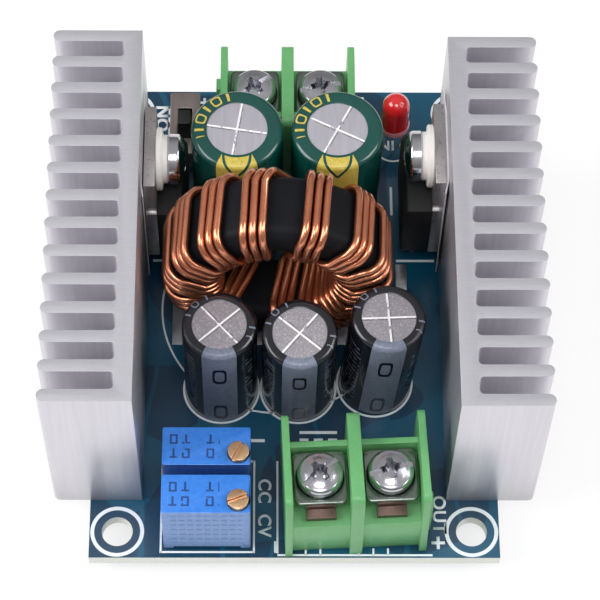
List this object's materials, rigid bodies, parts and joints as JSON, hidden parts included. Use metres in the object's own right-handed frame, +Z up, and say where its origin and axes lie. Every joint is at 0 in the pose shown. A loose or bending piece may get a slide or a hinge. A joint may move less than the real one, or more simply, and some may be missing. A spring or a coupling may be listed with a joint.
{
  "type": "step-down power converter module",
  "caption": "Open circuit board converter with a wound ring coil between two finned heatsinks, standing capacitors, screw terminals at each end, trimmers and a slide switch.",
  "frame": {"origin": "middle of the four corner mounting holes, on the underside of the circuit board", "axes": "+X to the right seen from above with the output terminals in front, +Y to the rear edge with the input terminals, +Z up, out of the component side"},
  "size_m": [0.053, 0.06, 0.0292],
  "materials": {
    "board": "glossy solder mask",
    "heatsink": "satin extruded",
    "zinc": "bright zinc plated",
    "tinned": "tinned",
    "black_resin": "fine matte",
    "insulating_sheet": "soft matte",
    "bush_nylon": "satin",
    "green_sleeve": "glossy",
    "black_sleeve": "glossy",
    "can_aluminium": "brushed",
    "seal_rubber": "matte",
    "core_coat": "semi-gloss",
    "copper": "enamelled",
    "terminal_green": "satin",
    "trimmer_blue": "satin",
    "adjuster_brass": "plain",
    "switch_steel": "plated",
    "switch_base": "matte",
    "switch_black": "satin",
    "lamp_red": "clear red",
    "solder": "bright"
  },
  "bodies": {
    "module": {"circuit_board": "board", "heatsink_left": "heatsink", "heatsink_right": "heatsink", "heatsink_screws": "zinc", "transistor_frame": "tinned", "transistor_body": "black_resin", "transistor_sheet": "insulating_sheet", "transistor_bush": "bush_nylon", "transistor_screw": "zinc", "rectifier_frame": "tinned", "rectifier_body": "black_resin", "rectifier_sheet": "insulating_sheet", "rectifier_bush": "bush_nylon", "rectifier_screw": "zinc", "input_capacitor_left_sleeve": "green_sleeve", "input_capacitor_left_can": "can_aluminium", "input_capacitor_right_sleeve": "green_sleeve", "input_capacitor_right_can": "can_aluminium", "input_capacitor_seals": "seal_rubber", "input_capacitor_leads": "tinned", "output_capacitor_left_sleeve": "black_sleeve", "output_capacitor_left_can": "can_aluminium", "output_capacitor_middle_sleeve": "black_sleeve", "output_capacitor_middle_can": "can_aluminium", "output_capacitor_right_sleeve": "black_sleeve", "output_capacitor_right_can": "can_aluminium", "output_capacitor_seals": "seal_rubber", "output_capacitor_leads": "tinned", "coil_core": "core_coat", "coil_strand_1": "copper", "coil_strand_2": "copper", "coil_strand_3": "copper", "output_terminal_housing": "terminal_green", "output_terminal_contacts": "tinned", "input_terminal_housing": "terminal_green", "input_terminal_contacts": "tinned", "trimmer_front_housing": "trimmer_blue", "trimmer_rear_housing": "trimmer_blue", "trimmer_pins": "tinned", "switch_shell": "switch_steel", "switch_base": "switch_base", "switch_pins": "tinned", "lamp_lens": "lamp_red", "lamp_leads": "tinned", "control_chips": "black_resin", "control_chip_pins": "tinned", "underside_resistors": "black_resin", "solder_joints": "solder"},
    "switch_knob": {"switch_knob": "switch_black"},
    "trimmer_front_screw": {"trimmer_front_screw": "adjuster_brass"},
    "trimmer_rear_screw": {"trimmer_rear_screw": "adjuster_brass"},
    "output_clamp_left": {"output_clamp_left": "zinc"},
    "output_screw_left": {"output_screw_left": "zinc"},
    "output_clamp_right": {"output_clamp_right": "zinc"},
    "output_screw_right": {"output_screw_right": "zinc"},
    "input_clamp_left": {"input_clamp_left": "zinc"},
    "input_screw_left": {"input_screw_left": "zinc"},
    "input_clamp_right": {"input_clamp_right": "zinc"},
    "input_screw_right": {"input_screw_right": "zinc"}
  },
  "joints": [
    {"name": "switch_slide", "type": "slide", "parent": "module", "child": "switch_knob", "axis": [0, 1, 0], "range_m": [0, 0.002]},
    {"name": "trimmer_front_turn", "type": "hinge", "parent": "module", "child": "trimmer_front_screw", "pos_m": [-0.0061, -0.02748, 0.0116], "axis": [0, 0, 1], "continuous": true},
    {"name": "trimmer_rear_turn", "type": "hinge", "parent": "module", "child": "trimmer_rear_screw", "pos_m": [-0.0061, -0.02193, 0.0116], "axis": [0, 0, 1], "continuous": true},
    {"name": "output_left_lift", "type": "slide", "parent": "module", "child": "output_clamp_left", "axis": [0, 0, 1], "range_m": [0, 0.002]},
    {"name": "output_left_turn", "type": "hinge", "parent": "output_clamp_left", "child": "output_screw_left", "pos_m": [0.00263, -0.02434, 0.0106], "axis": [0, 0, 1], "range_deg": [0, 1440]},
    {"name": "output_right_lift", "type": "slide", "parent": "module", "child": "output_clamp_right", "axis": [0, 0, 1], "range_m": [0, 0.002]},
    {"name": "output_right_turn", "type": "hinge", "parent": "output_clamp_right", "child": "output_screw_right", "pos_m": [0.01025, -0.02396, 0.0106], "axis": [0, 0, 1], "range_deg": [0, 1440]},
    {"name": "input_left_lift", "type": "slide", "parent": "module", "child": "input_clamp_left", "axis": [0, 0, 1], "range_m": [0, 0.002]},
    {"name": "input_left_turn", "type": "hinge", "parent": "input_clamp_left", "child": "input_screw_left", "pos_m": [-0.00456, 0.02415, 0.0106], "axis": [0, 0, 1], "range_deg": [0, 1440]},
    {"name": "input_right_lift", "type": "slide", "parent": "module", "child": "input_clamp_right", "axis": [0, 0, 1], "range_m": [0, 0.002]},
    {"name": "input_right_turn", "type": "hinge", "parent": "input_clamp_right", "child": "input_screw_right", "pos_m": [0.00306, 0.02415, 0.0106], "axis": [0, 0, 1], "range_deg": [0, 1440]}
  ],
  "couplings": [
    {"joint": "output_left_turn", "follows": "output_left_lift", "rad_per_m": 12566},
    {"joint": "output_right_turn", "follows": "output_right_lift", "rad_per_m": 12566},
    {"joint": "input_left_turn", "follows": "input_left_lift", "rad_per_m": 12566},
    {"joint": "input_right_turn", "follows": "input_right_lift", "rad_per_m": 12566}
  ]
}
